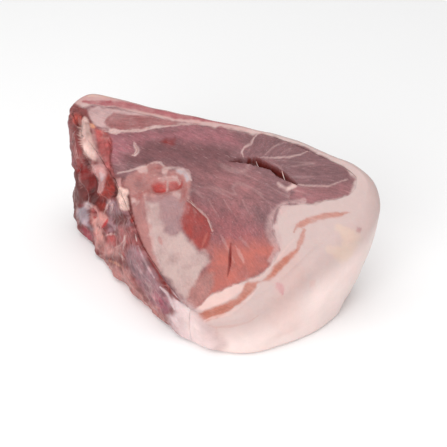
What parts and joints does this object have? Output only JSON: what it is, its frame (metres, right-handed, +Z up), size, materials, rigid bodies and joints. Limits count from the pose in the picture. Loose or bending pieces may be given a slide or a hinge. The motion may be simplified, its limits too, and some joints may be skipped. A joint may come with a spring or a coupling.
{
  "type": "raw pork shoulder joint",
  "caption": "Wedge-shaped raw meat joint with a slanting cut face, marbled lean, a thick cap of fat and a torn side where the bone came out.",
  "frame": {"origin": "under the middle of the joint's bounding box, on the plane of the flat lower cut that it rests on", "axes": "+X to the right along the joint's length, +Y to the back, +Z up"},
  "size_m": [0.2416, 0.1984, 0.1137],
  "materials": {
    "lean_meat": "moist",
    "pork_fat": "moist, slightly waxy"
  },
  "bodies": {
    "root": {"lean": "lean_meat", "fat_cap": "pork_fat"}
  },
  "joints": []
}
